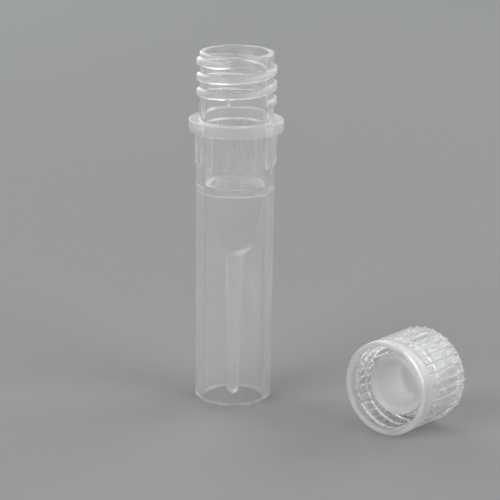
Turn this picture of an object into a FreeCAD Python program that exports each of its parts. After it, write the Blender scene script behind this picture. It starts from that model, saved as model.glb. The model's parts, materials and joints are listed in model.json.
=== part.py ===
"""A 0.5 ml screw-cap cryovial: a self-standing moulded tube and its knurled cap, lying beside it.

The tube stands on Z = 0 with its axis on +Z. Its neck carries an external thread above a collar, short ribs
hang under the collar, and the conical well sits high inside an open skirt, with a solid stem below it. The
cap has an internal thread, a hollow sealing plug and a ring of knurls. It lies on its side, mouth towards -Y.
"""

import FreeCAD, Part
import math
import os
import re

import Sketcher

# Sizes that are set by themselves, in millimetres, degrees or counts.
SIZES = {
    # the tube's bore, and the walls and rises outside it
    "tube_height": 46.4,
    "bore_radius": 4.1,
    "bore_depth": 17.45,
    "bore_bevel": 0.12,
    "neck_height": 8.8,
    "neck_wall": 0.72,
    "rim_bevel": 0.2,
    "body_wall": 1.06,
    "body_draft": 0.17,
    "collar_rise": 1.02,
    "collar_thickness": 1.5,
    "collar_bevel": 0.12,
    "foot_flare": 0.05,
    "foot_height": 0.6,
    "foot_bevel": 0.1,
    # the well, below a ledge at the foot of the bore
    "ledge_width": 1.25,
    "ledge_drop": 0.15,
    "well_depth": 8.2,
    "well_floor_radius": 1.45,
    "well_round": 1.0,
    # the underside of the tube, inside its skirt
    "skirt_wall": 1.14,
    "ledge_wall": 0.7,
    "cup_wall": 0.95,
    "cup_base": 1.15,
    "cup_round": 2.0,
    "stem_top_radius": 1.24,
    "stem_foot_radius": 0.8,
    "stem_gap": 0.3,
    "stem_tip": 0.5,
    "gate_radius": 0.25,
    # ribs under the collar
    "rib_count": 16,
    "rib_rise": 0.22,
    "rib_width": 0.65,
    "rib_length": 4.4,
    # the neck's thread
    "thread_pitch": 2.0,
    "thread_rise": 0.4,
    "thread_foot_width": 1.35,
    "thread_crest_width": 0.75,
    "thread_start": 2.31,
    "thread_stop": 0.8,
    "thread_angle": 3.7,
    # the pip under the neck's thread, which the cap's thread clicks over as it closes
    "pip_angle": 296.7,
    "pip_height": 3.0,
    "pip_foot_radius": 0.5,
    "pip_crest_radius": 0.25,
    # the cap
    "cap_top": 1.25,
    "cap_wall": 0.77,
    "lip_height": 1.8,
    "lip_bevel": 0.2,
    "grip_inset": 0.2,
    "knurl_count": 32,
    "knurl_rise": 0.2,
    "knurl_width": 0.7,
    "knurl_angle": 8.9,
    "plug_wall": 1.1,
    "plug_inset": 2.2,
    "plug_bevel": 0.4,
    "cap_thread_foot_width": 0.75,
    "cap_thread_crest_width": 0.35,
    "cap_thread_start": 0.75,
    "cap_thread_stop": 2.55,
    "cap_thread_angle": 45.0,
    # the clearances between the closed cap and the tube, and the grip of the pip on the cap's thread
    "lip_gap": 0.8,
    "thread_gap": 0.18,
    "crest_gap": 0.1,
    "plug_gap": 0.1,
    "pip_grip": 0.1,
    # how far an added feature starts inside the wall that it grows from
    "sink": 0.2,
    # where the cap lies
    "cap_across": 24.85,
    "cap_along": -0.45,
}

# Sizes that follow from those above.
DERIVED = {
    "neck_radius": "bore_radius + neck_wall",
    "body_radius": "bore_radius + body_wall",
    "foot_radius": "body_radius - body_draft",
    "collar_radius": "body_radius + collar_rise",
    "collar_top": "tube_height - neck_height",
    "collar_foot": "collar_top - collar_thickness",
    "bore_floor": "tube_height - bore_depth",
    "well_mouth": "bore_floor - ledge_drop",
    "well_mouth_radius": "bore_radius - ledge_width",
    "well_floor": "well_mouth - well_depth",
    "skirt_radius": "foot_radius + foot_flare - skirt_wall",
    "skirt_depth": "well_mouth - ledge_wall",
    "cup_slope": "(well_mouth_radius - well_floor_radius) / well_depth",
    "cup_floor": "well_floor - cup_base",
    "cup_floor_radius": "well_floor_radius + cup_wall - cup_base * cup_slope",
    "cup_top": "skirt_depth + sink",
    "thread_crest": "neck_radius + thread_rise",
    "thread_bottom": "collar_top + thread_start",
    "thread_top": "tube_height - thread_stop",
    "thread_turns": "(thread_top - thread_bottom) / thread_pitch",
    "cap_floor": "neck_height - lip_gap",
    "cap_height": "cap_floor + cap_top",
    "cap_bore": "thread_crest + thread_gap",
    "cap_thread_crest": "neck_radius + crest_gap",
    "cap_thread_turns": "(cap_floor - cap_thread_stop - cap_thread_start) / thread_pitch",
    "pip_crest": "cap_thread_crest + pip_grip",
    "lip_radius": "cap_bore + cap_wall",
    "grip_radius": "lip_radius - grip_inset",
    "knurl_crest": "grip_radius + knurl_rise",
    "plug_radius": "bore_radius - plug_gap",
}

doc = FreeCAD.newDocument("cryovial")
dims = doc.addObject("Spreadsheet::Sheet", "dims")
for row, (name, value) in enumerate({**SIZES, **DERIVED}.items(), start=1):
    dims.set(f"A{row}", f"={value}" if name in DERIVED else str(value))
    dims.setAlias(f"A{row}", name)
doc.recompute()


def cells(words):
    """An expression in the sheet's aliases, as an object outside the sheet has to write it."""
    return re.sub("[a-z_]+", lambda alias: f"dims.{alias.group()}", words)


def size(words):
    """What an expression in the sheet's aliases comes to."""
    return float(dims.evalExpression(words))


def spot(across, up):
    """A point in a sketch, from the expressions of its coordinates."""
    return FreeCAD.Vector(size(across), size(up), 0)


def origin(body, role):
    """The plane or axis with this role in a body's own origin."""
    return next(item for item in body.Origin.OriginFeatures if item.Role == role)


def sketch_on(body, name, role, turn="0", lift="0"):
    """An empty sketch on an origin plane, turned about the body's axis by turn and lifted off it by lift."""
    sketch = body.newObject("Sketcher::SketchObject", name)
    sketch.AttachmentSupport = [(origin(body, role), "")]
    sketch.MapMode = "FlatFace"
    upright = role == "XZ_Plane"
    axis = FreeCAD.Vector(0, 1, 0) if upright else FreeCAD.Vector(0, 0, 1)
    sketch.AttachmentOffset = FreeCAD.Placement(axis * size(lift), FreeCAD.Rotation(axis, size(turn)))
    sketch.setExpression("AttachmentOffset.Rotation.Angle", cells(turn))
    sketch.setExpression(f"AttachmentOffset.Base.{'y' if upright else 'z'}", cells(lift))
    return sketch


def relate(sketch, *words):
    """Adds a constraint between the sketch's curves."""
    return sketch.addConstraint(Sketcher.Constraint(*words))


def measure(sketch, kind, *words):
    """Adds a constraint whose value, its last word, is an expression in the sheet's aliases."""
    *curves, value = words
    index = relate(sketch, kind, *curves, size(value))
    sketch.setExpression(f"Constraints[{index}]", cells(value))


def locate(sketch, curve, end, across, up):
    """Holds one end of a curve at a point, on the sketch's own axis where a coordinate is 0."""
    for kind, value, axis in (("DistanceX", across, -2), ("DistanceY", up, -1)):
        if value == "0":
            relate(sketch, "PointOnObject", curve, end, axis)
        else:
            measure(sketch, kind, -1, 1, curve, end, value)


def outline(sketch, corners):
    """Draws a closed outline of straight sides through corners."""
    for side, corner in enumerate(corners):
        following = corners[(side + 1) % len(corners)]
        sketch.addGeometry(Part.LineSegment(spot(*corner), spot(*following)))
    for side, corner in enumerate(corners):
        relate(sketch, "Coincident", side, 2, (side + 1) % len(corners), 1)
        locate(sketch, side, 1, *corner)
    return sketch


def revolve(body, kind, name, corners, axis="V_Axis", turn="0", lift="0"):
    """Makes a Revolution or a Groove from an outline of (radius, height) corners about a sketch axis."""
    profile = outline(sketch_on(body, f"{name}_outline", "XZ_Plane", turn, lift), corners)
    feature = body.newObject(f"PartDesign::{kind}", name)
    feature.Profile = profile
    feature.ReferenceAxis = (profile, [axis])
    feature.Angle = 360
    doc.recompute()
    return feature


def extrude(body, kind, name, corners, foot, length, turn="0"):
    """Makes a Pad or a Pocket upwards from an outline drawn across the axis at the height of its foot."""
    feature = body.newObject(f"PartDesign::{kind}", name)
    feature.Profile = outline(sketch_on(body, f"{name}_outline", "XY_Plane", turn, foot), corners)
    feature.Reversed = kind == "Pocket"
    feature.setExpression("Length", cells(length))
    doc.recompute()
    return feature


def repeat(body, name, feature, count):
    """Repeats a feature all round the body's axis."""
    pattern = body.newObject("PartDesign::PolarPattern", name)
    pattern.Originals = [feature]
    pattern.Axis = (origin(body, "Z_Axis"), [""])
    pattern.Angle = 360
    pattern.setExpression("Occurrences", cells(count))
    body.Tip = pattern
    doc.recompute()
    return pattern


def ridge(body, name, foot, crest, middle, turn, turns):
    """Winds a right-handed thread ridge round the axis, a trapezium in section from its foot to its crest."""
    section = outline(sketch_on(body, f"{name}_outline", "XZ_Plane", turn), (
        (foot, f"{middle} - {name}_foot_width / 2"),
        (crest, f"{middle} - {name}_crest_width / 2"),
        (crest, f"{middle} + {name}_crest_width / 2"),
        (foot, f"{middle} + {name}_foot_width / 2"),
    ))
    helix = body.newObject("PartDesign::AdditiveHelix", name)
    helix.Profile = section
    helix.ReferenceAxis = (section, ["V_Axis"])
    helix.Mode = "pitch-turns-angle"
    helix.setExpression("Pitch", cells("thread_pitch"))
    helix.setExpression("Turns", cells(turns))
    doc.recompute()
    return helix


def rings(feature, places):
    """The names of a feature's circular edges round its axis, each at a (radius, height) place."""
    names = []
    for radius, height in places:
        wanted = (size(radius), size(height))
        found = [
            f"Edge{index}"
            for index, edge in enumerate(feature.Shape.Edges, start=1)
            if isinstance(edge.Curve, Part.Circle)
            and math.hypot(edge.Curve.Center.x, edge.Curve.Center.y) < 1e-6
            and math.dist(wanted, (edge.Curve.Radius, edge.Curve.Center.z)) < 1e-4
        ]
        if not found:
            raise ValueError(f"{feature.Label} has no edge at {radius}, {height}")
        names += found
    return names


def finish(body, kind, name, amount, places):
    """Puts a Fillet or a Chamfer on the circular edges at these (radius, height) places."""
    feature = body.newObject(f"PartDesign::{kind}", name)
    feature.Base = (feature.BaseFeature, rings(feature.BaseFeature, places))
    feature.setExpression("Radius" if kind == "Fillet" else "Size", cells(amount))
    doc.recompute()
    return feature


def make_tube():
    """The tube: one moulding with its neck, collar, ribs, well, skirt and stem."""
    body = doc.addObject("PartDesign::Body", "vial_tube")
    revolve(body, "Revolution", "outside", (
        ("0", "0"),
        ("foot_radius + foot_flare", "0"),
        ("foot_radius", "foot_height"),
        ("body_radius", "collar_foot - rib_length"),
        ("body_radius", "collar_foot"),
        ("collar_radius", "collar_foot"),
        ("collar_radius", "collar_top"),
        ("neck_radius", "collar_top"),
        ("neck_radius", "tube_height"),
        ("0", "tube_height"),
    ))
    ridge(body, "thread", "neck_radius - sink", "thread_crest", "thread_bottom", "thread_angle",
          "thread_turns")
    extrude(body, "Pocket", "thread_runout", (
        ("neck_radius", "-neck_radius"),
        ("collar_radius", "-neck_radius"),
        ("collar_radius", "neck_radius"),
        ("neck_radius", "neck_radius"),
    ), "thread_top - thread_pitch / 2", "thread_stop + thread_pitch", "thread_angle + 360 * thread_turns")
    revolve(body, "Revolution", "pip", (
        ("neck_radius - sink", "0"),
        ("pip_crest", "0"),
        ("pip_crest", "pip_crest_radius"),
        ("neck_radius - sink", "pip_foot_radius"),
    ), "H_Axis", "pip_angle", "collar_top + pip_height")
    rib = extrude(body, "Pad", "rib", (
        ("foot_radius - sink", "-rib_width / 2"),
        ("body_radius + rib_rise", "-rib_width / 2"),
        ("body_radius + rib_rise", "rib_width / 2"),
        ("foot_radius - sink", "rib_width / 2"),
    ), "collar_foot - rib_length", "rib_length + collar_thickness / 2")
    repeat(body, "ribs", rib, "rib_count")
    revolve(body, "Groove", "skirt_hollow", (
        ("0", "0"),
        ("skirt_radius", "0"),
        ("skirt_radius", "skirt_depth"),
        ("0", "skirt_depth"),
    ))
    revolve(body, "Revolution", "cup", (
        ("0", "cup_floor"),
        ("cup_floor_radius", "cup_floor"),
        ("cup_floor_radius + (cup_top - cup_floor) * cup_slope", "cup_top"),
        ("0", "cup_top"),
    ))
    finish(body, "Fillet", "cup_rounding", "cup_round", [("cup_floor_radius", "cup_floor")])
    revolve(body, "Revolution", "stem", (
        ("0", "stem_gap"),
        ("gate_radius", "stem_gap"),
        ("stem_foot_radius", "stem_gap + stem_tip"),
        ("stem_top_radius", "cup_floor"),
        ("stem_top_radius", "cup_floor + sink"),
        ("0", "cup_floor + sink"),
    ))
    revolve(body, "Groove", "bore_and_well", (
        ("0", "tube_height"),
        ("bore_radius", "tube_height"),
        ("bore_radius", "bore_floor"),
        ("well_mouth_radius", "well_mouth"),
        ("well_floor_radius", "well_floor"),
        ("0", "well_floor"),
    ))
    finish(body, "Fillet", "well_rounding", "well_round", [("well_floor_radius", "well_floor")])
    revolve(body, "Groove", "rim_bevelling", (
        ("neck_radius - rim_bevel", "tube_height"),
        ("thread_crest + rim_bevel", "tube_height"),
        ("thread_crest + rim_bevel", "tube_height - thread_rise - rim_bevel * 2"),
    ))
    finish(body, "Chamfer", "bore_bevelling", "bore_bevel", [("bore_radius", "tube_height")])
    finish(body, "Chamfer", "foot_bevelling", "foot_bevel", [
        ("skirt_radius", "0"),
        ("foot_radius + foot_flare", "0"),
    ])
    finish(body, "Chamfer", "collar_bevelling", "collar_bevel", [
        ("collar_radius", "collar_foot"),
        ("collar_radius", "collar_top"),
    ])
    return body


def make_cap():
    """The cap, drawn mouth down on its own axis and laid on its side."""
    body = doc.addObject("PartDesign::Body", "screw_cap")
    revolve(body, "Revolution", "shell", (
        ("0", "0"),
        ("lip_radius", "0"),
        ("lip_radius", "lip_height"),
        ("grip_radius", "lip_height"),
        ("grip_radius", "cap_height"),
        ("0", "cap_height"),
    ))
    knurl = extrude(body, "Pad", "knurl", (
        ("grip_radius - sink", "-knurl_width / 2 * (1 + sink / knurl_rise)"),
        ("knurl_crest", "0"),
        ("grip_radius - sink", "knurl_width / 2 * (1 + sink / knurl_rise)"),
    ), "lip_height / 2", "cap_height - lip_height / 2", "knurl_angle")
    repeat(body, "knurls", knurl, "knurl_count")
    revolve(body, "Groove", "mouth", (
        ("0", "0"),
        ("cap_bore", "0"),
        ("cap_bore", "cap_floor"),
        ("0", "cap_floor"),
    ))
    ridge(body, "cap_thread", "cap_bore + sink", "cap_thread_crest", "cap_thread_start", "cap_thread_angle",
          "cap_thread_turns")
    revolve(body, "Revolution", "plug", (
        ("plug_radius - plug_wall", "plug_inset"),
        ("plug_radius", "plug_inset"),
        ("plug_radius", "cap_floor + sink"),
        ("plug_radius - plug_wall", "cap_floor + sink"),
    ))
    finish(body, "Chamfer", "plug_bevelling", "plug_bevel", [
        ("plug_radius", "plug_inset"),
        ("plug_radius - plug_wall", "plug_inset"),
    ])
    finish(body, "Chamfer", "lip_bevelling", "lip_bevel", [("cap_bore", "0"), ("lip_radius", "0")])
    body.Placement.Rotation = FreeCAD.Rotation(FreeCAD.Vector(1, 0, 0), -90)
    for letter, words in (("x", "cap_across"), ("y", "cap_along"), ("z", "knurl_crest")):
        body.setExpression(f"Placement.Base.{letter}", cells(words))
    doc.recompute()
    return body


pieces = [make_tube(), make_cap()]
doc.recompute()

for item in doc.Objects:
    if {"Invalid", "Error"} & set(item.State):
        raise RuntimeError(f"{item.Label} failed: {item.State}")
for piece in pieces:
    if piece.Shape.isNull() or not piece.Shape.isValid() or len(piece.Shape.Solids) != 1:
        raise RuntimeError(f"{piece.Label} isn't one valid solid")

os.makedirs("parts", exist_ok=True)
for piece in pieces:
    piece.Shape.exportStep(f"parts/{piece.Label}.step")
    print(piece.Label, round(piece.Shape.Volume, 2), "mm3")
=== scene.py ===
"""The looks of a 0.5 ml screw-cap cryovial: its translucent tube, and its knurled cap lying beside it.

Both mouldings are closed meshes, turned about their own axes. Each is a ring of columns. A column is the
outline of the moulding's section at one angle, and threads, ribs and knurls are radii that change with it.
"""

import json
import math

import bmesh
import bpy
from mathutils import Euler, Matrix, Vector


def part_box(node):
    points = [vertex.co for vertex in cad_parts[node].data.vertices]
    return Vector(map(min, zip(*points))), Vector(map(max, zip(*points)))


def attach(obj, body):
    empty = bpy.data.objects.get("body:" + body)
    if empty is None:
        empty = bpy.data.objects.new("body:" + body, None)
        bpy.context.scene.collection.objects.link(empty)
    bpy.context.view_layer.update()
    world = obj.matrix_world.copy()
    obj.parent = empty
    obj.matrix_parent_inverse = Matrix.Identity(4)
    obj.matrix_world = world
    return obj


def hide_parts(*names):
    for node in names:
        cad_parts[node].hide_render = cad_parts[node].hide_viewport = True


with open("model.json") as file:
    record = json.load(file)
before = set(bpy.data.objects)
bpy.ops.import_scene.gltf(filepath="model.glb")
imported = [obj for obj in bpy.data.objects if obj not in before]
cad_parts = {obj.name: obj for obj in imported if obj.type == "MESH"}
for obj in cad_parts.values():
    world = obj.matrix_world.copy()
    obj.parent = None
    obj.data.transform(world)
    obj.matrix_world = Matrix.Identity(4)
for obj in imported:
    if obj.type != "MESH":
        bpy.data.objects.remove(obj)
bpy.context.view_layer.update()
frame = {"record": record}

MM = 0.001
MOUNTS = {mount["name"]: mount for mount in frame["record"]["mounts"]}
TUBE_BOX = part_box("vial_tube")
CAP_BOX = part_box("screw_cap")

# Sizes are in millimetres and degrees, from the frame where it has them. The tube's walls and collar:
TUBE_TOP = TUBE_BOX[1].z / MM
BORE = MOUNTS["neck_bore"]["dims"]["r_mm"]
COLLAR = TUBE_BOX[1].x / MM
COLLAR_FOOT = MOUNTS["collar_seat"]["pos_m"][2] / MM
COLLAR_HEIGHT = 1.5
COLLAR_TOP = COLLAR_FOOT + COLLAR_HEIGHT
NECK = BORE + 0.72
BODY = BORE + 1.06
FOOT = BODY - 0.17
FOOT_FLARE = 0.05
FOOT_FLARE_HEIGHT = 0.6
FOOT_FLARE_ROUND = 0.5
RIM_ROUND = 0.2

# The floor of the bore, and the well below it, which narrows to a rounded tip:
BORE_FLOOR = TUBE_TOP - 17.45
WELL_MOUTH = BORE_FLOOR - 0.15
WELL_MOUTH_RADIUS = BORE - 1.25
WELL_FLOOR = WELL_MOUTH - 8.2
WELL_FLOOR_RADIUS = 1.45
WELL_ROUND = 1.0
WELL_SLOPE = (WELL_MOUTH_RADIUS - WELL_FLOOR_RADIUS) / (WELL_MOUTH - WELL_FLOOR)

# The skirt's inside, the cup that hangs in it round the well, and the stem under the cup:
SKIRT = FOOT + FOOT_FLARE - 1.14
SKIRT_ROUND = 0.12
SKIRT_ROOF = WELL_MOUTH - 0.7
CUP_BOTTOM_WALL = 1.15
CUP_FLOOR = WELL_FLOOR - CUP_BOTTOM_WALL
CUP_FLOOR_RADIUS = WELL_FLOOR_RADIUS + 0.95 - CUP_BOTTOM_WALL * WELL_SLOPE
CUP_ROUND = 2.0
STEM_TOP = 1.24
STEM_ROOT = 0.4
STEM_FOOT = 0.8
STEM_GAP = 0.3
STEM_TIP = 0.5
STEM_TIP_RADIUS = 0.25

# The ribs under the collar:
RIB_COUNT = 16
RIB_HALF_ANGLE = 2.9
RIB_FLANK_ANGLE = 0.9
RIB_RISE = 0.22
RIB_DRAFT = 0.06
RIB_FOOT = COLLAR_FOOT - 4.4
RIB_END = 0.12

# The neck's thread, and the small pip under its first turn:
PITCH = 2.0
THREAD_CREST = NECK + 0.4
THREAD_BOTTOM = COLLAR_TOP + 2.31
THREAD_TURNS = (TUBE_TOP - 0.8 - THREAD_BOTTOM) / PITCH
THREAD_WALL_FOOT = COLLAR_TOP + 0.5
THREAD_WALL_TOP = TUBE_TOP - RIM_ROUND - 0.01
THREAD_ANGLE = 3.7
THREAD_FOOT_WIDTH = 1.2
THREAD_CREST_WIDTH = 0.7
THREAD_FOOT_ROUND = 0.06
THREAD_CREST_ROUND = 0.16
THREAD_VALLEY_ROWS = 3
THREAD_GROWTH = 2.0
THREAD_FADE = 30.0
PIP_ANGLE = 296.7
PIP_TOP = THREAD_BOTTOM + PITCH * (PIP_ANGLE - THREAD_ANGLE) / 360 - THREAD_FOOT_WIDTH / 2
PIP_HALF_WIDTH = 0.45
PIP_LENGTH = 1.0
PIP_RISE = 0.32
PIP_FLANK = 0.6
PIP_TOP_STEEPNESS = 9

# The cap, measured along its own axis from its mouth:
CAP_HEIGHT = (CAP_BOX[1].y - CAP_BOX[0].y) / MM
CAP_CREST = (CAP_BOX[1].x - CAP_BOX[0].x) / 2 / MM
CAP_FLOOR = CAP_HEIGHT - 1.25
GRIP = CAP_CREST - 0.2
LIP = CAP_CREST
LIP_HEIGHT = 1.8
LIP_STEP = 0.1
LIP_STEP_ROUND = 0.06
LIP_ROUND = 0.05
CAP_BORE = LIP - 0.77
MOUTH_BEVEL = 0.4
CAP_THREAD_CREST = NECK + 0.1
CAP_THREAD_START = 0.75
CAP_THREAD_TURNS = (CAP_FLOOR - 2.55 - CAP_THREAD_START) / PITCH
CAP_THREAD_ANGLE = 45.0
CAP_THREAD_FOOT_WIDTH = 0.6
CAP_THREAD_CREST_WIDTH = 0.25
CAP_THREAD_TOP = CAP_FLOOR - 0.3
CAP_THREAD_GROWTH = 3.0
CAP_THREAD_FADE = 12.0
PLUG = MOUNTS["cap_plug"]["dims"]["r_mm"]
PLUG_HOLLOW = PLUG - 1.1
PLUG_DRAFT = 0.1
PLUG_END = 2.2
PLUG_END_ROUND = 0.4
PLUG_MOUTH_ROUND = 0.6
PLUG_FLOOR_ROUND = 0.5
CAP_FLOOR_ROUND = 0.2
KNURL_COUNT = 32
KNURL_ANGLE = 8.9
KNURL_HALF_ANGLE = 2.4
KNURL_FLAT = 0.9

# Roundings of edges and corners, and how finely they are drawn:
FILLET = 0.08
CORNER = 0.1
EDGE = 0.14
SOFT_EDGE = 0.25
ARC_STEPS = 5
MERGE_DISTANCE = 0.0005

# Rows this far from an edge keep its frost from spreading over the long wall beside it:
NEAR_ROW = 0.3
FAR_ROW = 0.4

# The plastic: how much of its surface light enters, its roughness where polished and where fully frosted,
# the scattering inside for each metre, and its tints.
CLEARNESS = 0.98
POLISHED = 0.02
FROSTED = 0.4
HAZE = 210.0
HAZE_COLOUR = (0.99, 0.995, 1, 1)
BACK_SCATTER = -0.2
HAZY_TINT = (0.98, 0.985, 0.99, 1)
CLEAR_TINT = (1, 1, 1, 1)

# Noise in the plastic: the middle of its range, and its features in each metre. The streaks are drawn out
# along the way the mould opened. The relief, in metres, is what they and the grain add to the surface.
NOISE_LOW = 0.3
NOISE_HIGH = 0.7
CLOUDS = 350.0
GRAIN = 7000.0
ACROSS_DRAW = 2200
ALONG_DRAW = 60
GRAIN_SHARE = 0.1
RELIEF = 0.003 * MM
RELIEF_STRENGTH = 0.3

# How frosted the mould left parts of the surface, from 0 to 1, how far up the foot is fully frosted, and how
# near a place counts as being at a part.
COLLAR_FROST = 0.6
CAP_THREAD_FROST = 0.6
OUTSIDE_FROST = 0.15
SKIRT_FROST = 0.1
FROSTED_FOOT = 0.2
NEAR = 0.05

# The studio, in metres: what the lamps face, their size and colours, the sky and the floor.
MIDDLE = (0.008, 0.0, 0.022)
LAMP_SIZE = (0.4, 0.5)
WARM = (1, 0.97, 0.92)
COOL = (0.95, 0.98, 1)
PALE_SKY = (0.97, 0.985, 1, 1)
SKY_LIGHT = 0.3
SKY_SEEN = 0.75
FLOOR_COLOUR = (0.34, 0.344, 0.348, 1)
FLOOR_RADIUS = 4


def soften(corners, steps=ARC_STEPS):
    """The outline through (radius, height, rounding) corners. Each rounded one becomes an arc of steps."""
    points = []
    for place, (radius, height, rounding) in enumerate(corners):
        corner = Vector((radius, height))
        if not rounding:
            points.append(corner)
            continue
        towards = [(Vector(corners[place + side][:2]) - corner).normalized() for side in (-1, 1)]
        half = towards[0].angle(towards[1]) / 2
        reach = rounding / math.tan(half)
        centre = corner + (towards[0] + towards[1]).normalized() * rounding / math.sin(half)
        start, end = ((corner + way * reach - centre).normalized() for way in towards)
        points += [centre + rounding * start.slerp(end, step / steps) for step in range(steps + 1)]
    return points


def bowl(radius, floor, slope, rounding, inner, steps=12):
    """The rounded bottom of a cone whose side slopes outwards: an arc from the inner radius to the side."""
    centre = Vector((radius + rounding * (slope - math.hypot(1, slope)), floor + rounding))
    start = math.asin(max(inner - centre.x, 0) / rounding)
    end = math.pi / 2 - math.atan(slope)
    angles = [start + (end - start) * step / steps for step in range(steps + 1)]
    return [centre + rounding * Vector((math.sin(angle), -math.cos(angle))) for angle in angles]


def ease(share):
    """A smooth step from 0 to 1."""
    share = min(max(share, 0), 1)
    return share * share * (3 - 2 * share)


def between(low, high, count):
    """Evenly spaced numbers from just above low to just below high."""
    return [low + (high - low) * step / (count + 1) for step in range(1, count + 1)]


def mirrored(offsets):
    """The offsets, and the same ones on the other side of 0."""
    return [-offset for offset in offsets] + list(offsets)


def thread_section(foot_width, crest_width):
    """Half a thread ridge's section, from foot to crest: (distance from its middle, share of its rise)."""
    foot, crest = foot_width / 2, crest_width / 2
    rounded = soften([
        (PITCH / 2, 0, 0),
        (foot, 0, THREAD_FOOT_ROUND),
        (crest, 1, min(THREAD_CREST_ROUND, 0.8 * crest)),
        (0, 1, 0),
    ], steps=4)
    valley = [(distance, 0) for distance in reversed(between(foot + 0.1, PITCH / 2, THREAD_VALLEY_ROWS))]
    return [tuple(point) for point in rounded[:1] + valley + rounded[1:]]


def helical_rows(angle, bottom, growth, fade, section, turns, low, high, rise):
    """A column's points across a threaded wall: (how far it stands out, height), from low to high.

    bottom is the height of the ridge's start. growth and fade say over how many degrees it comes and goes.
    """
    rows = []
    strands = range(-2, math.ceil(turns) + 2)
    for strand in strands:
        along = angle + 360 * strand
        middle = bottom + PITCH * along / 360
        amount = ease(along / growth) * ease((360 * turns - along) / fade)
        below = [(-distance, share) for distance, share in section]
        above = [(distance, share) for distance, share in reversed(section[:-1])]
        for distance, share in below + above[:-1]:
            rows.append((share * amount * rise, min(max(middle + distance, low), high)))
    return rows


def turn(name, columns, frost, node):
    """Closes columns of (radius, height) points, one for each angle, into a mesh that stands for a CAD node.

    frost gives how frosted the surface is at a radius and height, which the mesh keeps as an attribute.
    """
    mesh = bmesh.new()
    frosted = mesh.verts.layers.float.new("frost")
    rings = []
    for angle, points in columns:
        way = Vector((math.cos(math.radians(angle)), math.sin(math.radians(angle))))
        ring = []
        for radius, height in points:
            ring.append(mesh.verts.new((radius * way.x, radius * way.y, height)))
            ring[-1][frosted] = frost(radius, height)
        rings.append(ring)
    for ring, following in zip(rings, rings[1:]):
        for row in range(len(ring) - 1):
            mesh.faces.new((ring[row], following[row], following[row + 1], ring[row + 1]))
    bmesh.ops.remove_doubles(mesh, verts=mesh.verts, dist=MERGE_DISTANCE)
    bmesh.ops.recalc_face_normals(mesh, faces=mesh.faces)
    data = bpy.data.meshes.new(name)
    mesh.to_mesh(data)
    mesh.free()
    data.shade_smooth()
    piece = bpy.data.objects.new(name, data)
    bpy.context.scene.collection.objects.link(piece)
    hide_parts(node)
    return piece


def rib_at(angle):
    """How far the ribs stand out at this angle, from 0 to 1."""
    sector = 360 / RIB_COUNT
    offset = abs((angle + sector / 2) % sector - sector / 2)
    return 1 - ease((offset - RIB_HALF_ANGLE) / RIB_FLANK_ANGLE)


def tube_angles():
    """The angles of the tube's columns: close together at the edges of each rib and round the pip."""
    sector = 360 / RIB_COUNT
    rib_foot = RIB_HALF_ANGLE + RIB_FLANK_ANGLE
    rib = [0] + mirrored((1.4, RIB_HALF_ANGLE, RIB_HALF_ANGLE + RIB_FLANK_ANGLE / 2, rib_foot))
    pip = [0.1] + mirrored((1.2, 2.4, 3.6, 4.5, 5.4))
    angles = [PIP_ANGLE + offset for offset in pip]
    for number in range(RIB_COUNT):
        angles += [number * sector + offset for offset in rib]
        angles += [number * sector + offset for offset in between(rib_foot, sector - rib_foot, 5)]
    return sorted(angle % 360 for angle in angles)


def pip_at(angle, height):
    """How far the pip stands out of the neck at this place."""
    across = math.radians((angle - PIP_ANGLE + 180) % 360 - 180) * NECK
    down = max(PIP_TOP - height, 0)
    above = max(height - PIP_TOP - THREAD_FOOT_WIDTH / 2, 0)
    away = math.hypot(across / PIP_HALF_WIDTH, down / PIP_LENGTH, PIP_TOP_STEEPNESS * above)
    return PIP_RISE * min(max((1 - away) / PIP_FLANK, 0), 1)


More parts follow.
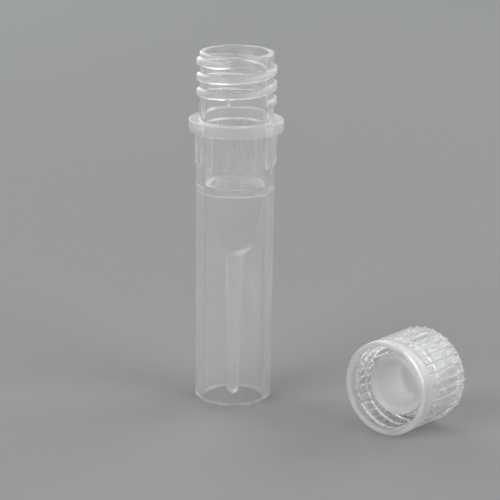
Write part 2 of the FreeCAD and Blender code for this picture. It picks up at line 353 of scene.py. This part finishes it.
def tube_column(angle):
    """The section of the tube at this angle, from the tip of the stem to the floor of the well."""
    root = bowl(CUP_FLOOR_RADIUS, CUP_FLOOR, WELL_SLOPE, CUP_ROUND, STEM_TOP)[0]
    cup = bowl(CUP_FLOOR_RADIUS, CUP_FLOOR, WELL_SLOPE, CUP_ROUND, STEM_TOP + STEM_ROOT)
    lower = soften([
        (0, STEM_GAP, 0),
        (STEM_TIP_RADIUS, STEM_GAP, CORNER),
        (STEM_FOOT, STEM_GAP + STEM_TIP, SOFT_EDGE),
        (*root, SOFT_EDGE),
        (*cup[0], 0),
    ])[:-1]
    lower += cup
    roof_radius = CUP_FLOOR_RADIUS + (SKIRT_ROOF - CUP_FLOOR) * WELL_SLOPE
    lower += soften([
        (roof_radius - NEAR_ROW * WELL_SLOPE, SKIRT_ROOF - NEAR_ROW, 0),
        (roof_radius, SKIRT_ROOF, FILLET),
        (SKIRT, SKIRT_ROOF, FILLET),
        (SKIRT, SKIRT_ROOF - NEAR_ROW, 0),
        (SKIRT, FAR_ROW, 0),
        (SKIRT, 0, SKIRT_ROUND),
        (FOOT + FOOT_FLARE, 0, EDGE),
        (FOOT, FOOT_FLARE_HEIGHT, FOOT_FLARE_ROUND),
        (BODY, RIB_FOOT - FAR_ROW, 0),
    ])[1:]
    ribbed = [(BODY, RIB_FOOT + rise) for rise in (-0.02, 0, RIB_END / 2, RIB_END, 0.2)]
    ribbed += [(BODY, height) for height in between(RIB_FOOT, COLLAR_FOOT, 4)]
    ribbed += soften([
        (BODY, COLLAR_FOOT - NEAR_ROW, 0),
        (BODY, COLLAR_FOOT, CORNER),
        (COLLAR, COLLAR_FOOT, EDGE),
        (COLLAR, COLLAR_TOP, EDGE),
        (NECK, COLLAR_TOP, FILLET),
        (NECK, THREAD_WALL_FOOT, 0),
    ])
    outline = [tuple(point) for point in lower]
    for radius, height in ribbed:
        under_collar = radius < COLLAR - 0.2 and height < COLLAR_TOP - 1
        if under_collar:
            draft = RIB_DRAFT * (2 * (height - RIB_FOOT) / (COLLAR_FOOT - RIB_FOOT) - 1)
            radius += (RIB_RISE + draft) * rib_at(angle) * ease((height - RIB_FOOT) / RIB_END)
        outline.append((radius, height))
    section = thread_section(THREAD_FOOT_WIDTH, THREAD_CREST_WIDTH)
    along = angle - THREAD_ANGLE
    threaded = helical_rows(along, THREAD_BOTTOM, THREAD_GROWTH, THREAD_FADE, section, THREAD_TURNS,
                            THREAD_WALL_FOOT, THREAD_WALL_TOP, THREAD_CREST - NECK)
    outline += [(NECK + max(rise, pip_at(angle, height)), height) for rise, height in threaded]
    upper = soften([
        (NECK, THREAD_WALL_TOP, 0),
        (NECK, TUBE_TOP, RIM_ROUND),
        (BORE, TUBE_TOP, EDGE),
        (BORE, BORE_FLOOR, SOFT_EDGE),
        (WELL_MOUTH_RADIUS, WELL_MOUTH, SOFT_EDGE),
        (WELL_FLOOR_RADIUS, WELL_FLOOR, 0),
    ])[:-1]
    upper += reversed(bowl(WELL_FLOOR_RADIUS, WELL_FLOOR, WELL_SLOPE, WELL_ROUND, 0))
    upper.append((0, WELL_FLOOR))
    return outline + [tuple(point) for point in upper]


def tube_frost(radius, height):
    """How frosted the mould left the tube at this place of its section, from 0 to 1."""
    on_foot = height < FROSTED_FOOT
    on_roof = abs(height - SKIRT_ROOF) < 2 * NEAR and radius < SKIRT + NEAR
    if on_foot or on_roof:
        return 1.0
    if height < SKIRT_ROOF:
        return 1.0 if radius < SKIRT - NEAR else SKIRT_FROST
    if height < COLLAR_FOOT - NEAR:
        on_rib_flank = BODY + 0.02 < radius < BODY + 0.15
        if on_rib_flank:
            return 1.0
        return OUTSIDE_FROST if radius > BORE + 0.1 else 0.0
    return ease((radius - NECK) / 0.3) if radius < THREAD_CREST + 0.1 else COLLAR_FROST


def make_tube():
    """The tube, with its thread, ribs, collar, well, skirt and stem."""
    angles = tube_angles()
    angles.append(angles[0] + 360)
    piece = turn("vial_tube_moulding", [(angle, tube_column(angle)) for angle in angles],
                 tube_frost, "vial_tube")
    piece.data.transform(Matrix.Scale(MM, 4))
    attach(piece, "tube")
    return piece


def knurl_at(angle):
    """How far the knurls stand out at this angle, from 0 to 1."""
    sector = 360 / KNURL_COUNT
    offset = abs((angle - KNURL_ANGLE + sector / 2) % sector - sector / 2)
    sharp = max(1 - offset / KNURL_HALF_ANGLE, 0)
    return min(sharp, KNURL_FLAT + sharp * 0.05)


def cap_angles():
    """The angles of the cap's columns: on the crest, flanks and feet of each knurl, and between knurls."""
    sector = 360 / KNURL_COUNT
    knurl = [0] + mirrored((0.3, 1.3, KNURL_HALF_ANGLE, KNURL_HALF_ANGLE + 0.2))
    offsets = sorted(knurl) + [4, sector / 2, sector - 4]
    return [number * sector + offset + KNURL_ANGLE for number in range(KNURL_COUNT) for offset in offsets]


def cap_column(angle):
    """The section of the cap at this angle, from the middle of its crown to the floor of its plug."""
    outside = soften([
        (0, CAP_HEIGHT, 0),
        (GRIP, CAP_HEIGHT, FILLET),
        (GRIP, CAP_HEIGHT - FAR_ROW, 0),
        (GRIP, LIP_HEIGHT + LIP_STEP, LIP_STEP_ROUND),
        (LIP, LIP_HEIGHT, LIP_ROUND),
        (LIP, 0, SOFT_EDGE),
        (CAP_BORE, 0, MOUTH_BEVEL - 0.05),
        (CAP_BORE, MOUTH_BEVEL, 0),
    ])
    outline = []
    for radius, height in outside:
        if radius > GRIP - 0.15:
            grown = min(radius + (CAP_CREST - GRIP) * knurl_at(angle), CAP_CREST)
            radius = max(radius, grown) if height > LIP_HEIGHT - 0.1 else radius
        outline.append((radius, height))
    section = thread_section(CAP_THREAD_FOOT_WIDTH, CAP_THREAD_CREST_WIDTH)
    along = angle - CAP_THREAD_ANGLE
    threaded = helical_rows(along, CAP_THREAD_START, CAP_THREAD_GROWTH, CAP_THREAD_FADE, section,
                            CAP_THREAD_TURNS, MOUTH_BEVEL + 0.01, CAP_THREAD_TOP,
                            CAP_THREAD_CREST - CAP_BORE)
    outline += [(CAP_BORE + rise, height) for rise, height in threaded]
    inside = soften([
        (CAP_BORE, CAP_THREAD_TOP, 0),
        (CAP_BORE, CAP_FLOOR, CAP_FLOOR_ROUND),
        (PLUG, CAP_FLOOR, CAP_FLOOR_ROUND),
        (PLUG, PLUG_END, PLUG_END_ROUND),
        (PLUG_HOLLOW, PLUG_END, PLUG_MOUTH_ROUND),
        (PLUG_HOLLOW - PLUG_DRAFT, CAP_FLOOR, PLUG_FLOOR_ROUND),
        (0, CAP_FLOOR, 0),
    ])
    return outline + [tuple(point) for point in inside]


def cap_frost(radius, height):
    """How frosted the mould left the cap at this place of its section, from 0 to 1."""
    if height < MOUTH_BEVEL or radius < PLUG + NEAR:
        return 1.0
    outside = radius > GRIP - 0.1
    if outside:
        between_ends = LIP_HEIGHT + NEAR <= height <= CAP_HEIGHT - NEAR_ROW
        return ease((radius - GRIP) / 0.1) if between_ends else 1.0
    return CAP_THREAD_FROST if radius < CAP_THREAD_CREST + 0.15 else 0.0


def make_cap():
    """The cap, turned mouth down on its own axis and laid on its side."""
    angles = cap_angles()
    angles.append(angles[0] + 360)
    piece = turn("screw_cap_moulding", [(angle, cap_column(angle)) for angle in angles],
                 cap_frost, "screw_cap")
    middle = (CAP_BOX[0] + CAP_BOX[1]) / 2
    lay = Matrix.Translation((middle.x, CAP_BOX[0].y, middle.z)) @ Matrix.Rotation(math.radians(-90), 4, "X")
    piece.data.transform(lay @ Matrix.Scale(MM, 4))
    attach(piece, "cap")
    return piece


def node(tree, kind, inputs, **settings):
    """A new shader node with these settings. Each input gets a value, or another node's output to follow."""
    made = tree.nodes.new("ShaderNode" + kind)
    for name, value in settings.items():
        setattr(made, name, value)
    for name, value in inputs.items():
        if isinstance(value, bpy.types.NodeSocket):
            tree.links.new(value, made.inputs[name])
        else:
            made.inputs[name].default_value = value
    return made


def noise(tree, place, scale):
    """Soft noise whose features are about 1 / scale metres across."""
    return node(tree, "TexNoise", {"Vector": place, "Scale": scale, "Detail": 2.0}).outputs["Fac"]


def remap(tree, value, low, high, to_low, to_high):
    """A value that runs from to_low to to_high while another runs from low to high."""
    ends = {"From Min": low, "From Max": high, "To Min": to_low, "To Max": to_high}
    return node(tree, "MapRange", {"Value": value, **ends}).outputs["Result"]


def plastic(name, draw):
    """Natural polypropylene: clear, but milky all through, and polished or frosted as the mould left it.

    draw squeezes the noise for the faint marks along the way it left the mould.
    """
    material = bpy.data.materials.new(name)
    material.use_nodes = True
    tree = material.node_tree
    place = node(tree, "TexCoord", {}).outputs["Object"]
    drawn = node(tree, "Mapping", {"Vector": place, "Scale": draw}).outputs["Vector"]
    streaks = noise(tree, drawn, 1.0)
    clouds = noise(tree, place, CLOUDS)
    grain = noise(tree, place, GRAIN)

    tint = node(tree, "ValToRGB", {"Fac": clouds})
    tint.color_ramp.elements[0].position = NOISE_LOW
    tint.color_ramp.elements[0].color = HAZY_TINT
    tint.color_ramp.elements[1].position = NOISE_HIGH
    tint.color_ramp.elements[1].color = CLEAR_TINT
    frost = node(tree, "Attribute", {}, attribute_name="frost").outputs["Fac"]
    finish = remap(tree, frost, 0, 1, POLISHED, FROSTED)
    uneven = remap(tree, streaks, NOISE_LOW, NOISE_HIGH, -0.01, 0.03)
    dull = node(tree, "Math", {0: finish, 1: uneven}, operation="ADD")
    relief = node(tree, "Math", {0: grain, 1: GRAIN_SHARE, 2: streaks}, operation="MULTIPLY_ADD")
    bump = node(tree, "Bump", {
        "Height": relief.outputs["Value"],
        "Strength": RELIEF_STRENGTH,
        "Distance": RELIEF,
    })

    shader = tree.nodes["Principled BSDF"]
    shader.inputs["IOR"].default_value = 1.49
    shader.inputs["Transmission Weight"].default_value = CLEARNESS
    tree.links.new(tint.outputs["Color"], shader.inputs["Base Color"])
    tree.links.new(dull.outputs["Value"], shader.inputs["Roughness"])
    tree.links.new(bump.outputs["Normal"], shader.inputs["Normal"])
    haze = node(tree, "VolumeScatter", {"Color": HAZE_COLOUR, "Density": HAZE, "Anisotropy": BACK_SCATTER})
    tree.links.new(haze.outputs["Volume"], tree.nodes["Material Output"].inputs["Volume"])
    return material


def make_floor():
    """A plain matte floor."""
    mesh = bmesh.new()
    bmesh.ops.create_circle(mesh, cap_ends=True, segments=64, radius=FLOOR_RADIUS)
    data = bpy.data.meshes.new("floor")
    mesh.to_mesh(data)
    mesh.free()
    floor = bpy.data.objects.new("floor", data)
    bpy.context.scene.collection.objects.link(floor)
    material = bpy.data.materials.new("floor")
    material.use_nodes = True
    shader = material.node_tree.nodes["Principled BSDF"]
    shader.inputs["Base Color"].default_value = FLOOR_COLOUR
    shader.inputs["Roughness"].default_value = 0.9
    shader.inputs["Specular IOR Level"].default_value = 0.05
    data.materials.append(material)


def make_lamp(name, place, power, colour):
    """A soft box, facing the middle of the object."""
    data = bpy.data.lights.new(name, "AREA")
    data.shape = "RECTANGLE"
    data.size, data.size_y = LAMP_SIZE
    data.energy = power
    data.color = colour
    lamp = bpy.data.objects.new(name, data)
    lamp.location = place
    lamp.rotation_euler = (Vector(MIDDLE) - lamp.location).to_track_quat("-Z", "Y").to_euler()
    bpy.context.scene.collection.objects.link(lamp)


def make_camera():
    """The photographed view: a long lens, turned towards the cap's mouth and looking a little down."""
    turned, down, rolled = math.radians(37.7), math.radians(15.25), math.radians(0.85)
    right = Vector((math.cos(turned), math.sin(turned), 0))
    ahead = Vector((-math.sin(turned), math.cos(turned), 0))
    data = bpy.data.cameras.new("camera")
    data.lens = 189.9
    data.sensor_width = 36
    camera = bpy.data.objects.new("camera", data)
    back, aside, height = 0.334, 0.00203, 0.111
    camera.location = aside * right - back * ahead + Vector((0, 0, height))
    tilt = Euler((math.pi / 2 - down, 0, turned)).to_matrix()
    camera.rotation_euler = (tilt @ Matrix.Rotation(rolled, 3, "Z")).to_euler()
    bpy.context.scene.collection.objects.link(camera)
    bpy.context.scene.camera = camera


def make_world():
    """Dim, even light from all round, and a pale studio where it is seen, also in or through the plastic."""
    world = bpy.data.worlds.new("studio")
    world.use_nodes = True
    tree = world.node_tree
    path = node(tree, "LightPath", {}).outputs
    seen = path["Is Camera Ray"]
    for kind in ("Is Glossy Ray", "Is Transmission Ray"):
        seen = node(tree, "Math", {0: seen, 1: path[kind]}, operation="MAXIMUM").outputs["Value"]
    background = tree.nodes["Background"]
    background.inputs["Color"].default_value = PALE_SKY
    strength = remap(tree, seen, 0, 1, SKY_LIGHT, SKY_SEEN)
    tree.links.new(strength, background.inputs["Strength"])
    bpy.context.scene.world = world


make_camera()
make_world()
make_floor()
make_lamp("front_left_box", (-0.1, -0.48, 0.2), 2.1, WARM)
make_lamp("front_right_box", (0.5, 0.08, 0.2), 1.7, WARM)
make_lamp("back_left_box", (-0.45, 0.2, 0.25), 1.1, COOL)
make_lamp("back_right_box", (0.15, 0.49, 0.25), 1.1, COOL)
tube = make_tube()
cap = make_cap()
tube.data.materials.append(plastic("tube_polypropylene", (ACROSS_DRAW, ACROSS_DRAW, ALONG_DRAW)))
cap.data.materials.append(plastic("cap_polypropylene", (ACROSS_DRAW, ALONG_DRAW, ACROSS_DRAW)))
bpy.context.scene.view_settings.view_transform = "Standard"
cycles = bpy.context.scene.cycles
cycles.max_bounces = 64
cycles.transmission_bounces = 64
cycles.glossy_bounces = 64
cycles.diffuse_bounces = 8
cycles.volume_bounces = 24
